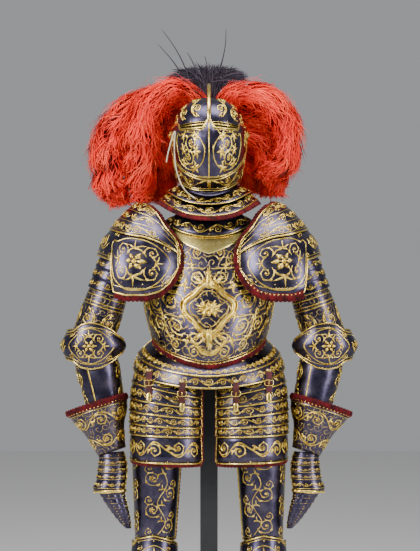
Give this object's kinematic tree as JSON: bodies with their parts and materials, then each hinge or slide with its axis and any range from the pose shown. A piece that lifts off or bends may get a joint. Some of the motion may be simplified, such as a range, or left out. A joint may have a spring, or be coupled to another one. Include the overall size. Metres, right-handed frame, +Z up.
{
  "type": "suit of plate armour on a display stand",
  "caption": "Full suit of etched and gilt parade plate armour with a plumed close helmet, laminated arms, gauntlets and tassets, standing hollow on a square-post stand.",
  "frame": {"origin": "on the floor under the middle of the suit and its stand", "axes": "+Z up, the suit faces -Y, its left arm is on +X"},
  "size_m": [0.854, 0.52, 2.0562],
  "materials": {
    "blued_gilt_steel": "blued and polished, covered with gilt etched foliage",
    "crimson_velvet": "short-pile velvet lining borders",
    "dark_red_leather": "dyed strap leather",
    "red_feather": "dyed, curled ostrich plume",
    "black_feather": "dyed black tuft and quills",
    "pale_thong": "undyed leather thong",
    "painted_stand": "satin black paint"
  },
  "bodies": {
    "suit": {"backplate": "blued_gilt_steel", "breastplate": "blued_gilt_steel", "collar_lower": "blued_gilt_steel", "collar_upper": "blued_gilt_steel", "culet": "blued_gilt_steel", "fauld_lower": "blued_gilt_steel", "fauld_upper": "blued_gilt_steel", "gorget": "blued_gilt_steel", "helmet_skull": "blued_gilt_steel", "collar_velvet": "crimson_velvet", "tasset_lame_1_left": "blued_gilt_steel", "tasset_lame_2_left": "blued_gilt_steel", "tasset_lame_3_left": "blued_gilt_steel", "tasset_lame_4_left": "blued_gilt_steel", "tasset_lame_5_left": "blued_gilt_steel", "tasset_lame_6_left": "blued_gilt_steel", "tasset_strap_inner_left": "dark_red_leather", "tasset_strap_outer_left": "dark_red_leather", "pauldron_upper_left": "blued_gilt_steel", "pauldron_main_left": "blued_gilt_steel", "arm_lames_left": "blued_gilt_steel", "upper_cannon_left": "blued_gilt_steel", "couter_left": "blued_gilt_steel", "lower_cannon_left": "blued_gilt_steel", "gauntlet_cuff_left": "blued_gilt_steel", "gauntlet_hand_left": "blued_gilt_steel", "cuisse_left": "blued_gilt_steel", "poleyn_left": "blued_gilt_steel", "greave_left": "blued_gilt_steel", "sabaton_left": "blued_gilt_steel", "pauldron_velvet_left": "crimson_velvet", "plumes_left": "red_feather", "tasset_lame_1_right": "blued_gilt_steel", "tasset_lame_2_right": "blued_gilt_steel", "tasset_lame_3_right": "blued_gilt_steel", "tasset_lame_4_right": "blued_gilt_steel", "tasset_lame_5_right": "blued_gilt_steel", "tasset_lame_6_right": "blued_gilt_steel", "tasset_strap_inner_right": "dark_red_leather", "tasset_strap_outer_right": "dark_red_leather", "pauldron_upper_right": "blued_gilt_steel", "pauldron_main_right": "blued_gilt_steel", "arm_lames_right": "blued_gilt_steel", "upper_cannon_right": "blued_gilt_steel", "couter_right": "blued_gilt_steel", "lower_cannon_right": "blued_gilt_steel", "gauntlet_cuff_right": "blued_gilt_steel", "gauntlet_hand_right": "blued_gilt_steel", "cuisse_right": "blued_gilt_steel", "poleyn_right": "blued_gilt_steel", "greave_right": "blued_gilt_steel", "sabaton_right": "blued_gilt_steel", "pauldron_velvet_right": "crimson_velvet", "plumes_right": "red_feather", "aigrette": "black_feather", "stand_base": "painted_stand", "stand_post": "painted_stand"},
    "visor": {"visor": "blued_gilt_steel", "helmet_lace": "pale_thong"},
    "bevor": {"bevor": "blued_gilt_steel"}
  },
  "joints": [
    {"name": "bevor_pivot", "type": "hinge", "parent": "suit", "child": "bevor", "pos_m": [0, 0.005, 1.715], "axis": [-1, 0, 0], "range_deg": [0, 30]},
    {"name": "visor_pivot", "type": "hinge", "parent": "bevor", "child": "visor", "pos_m": [0, 0.005, 1.715], "axis": [-1, 0, 0], "range_deg": [0, 40]}
  ]
}
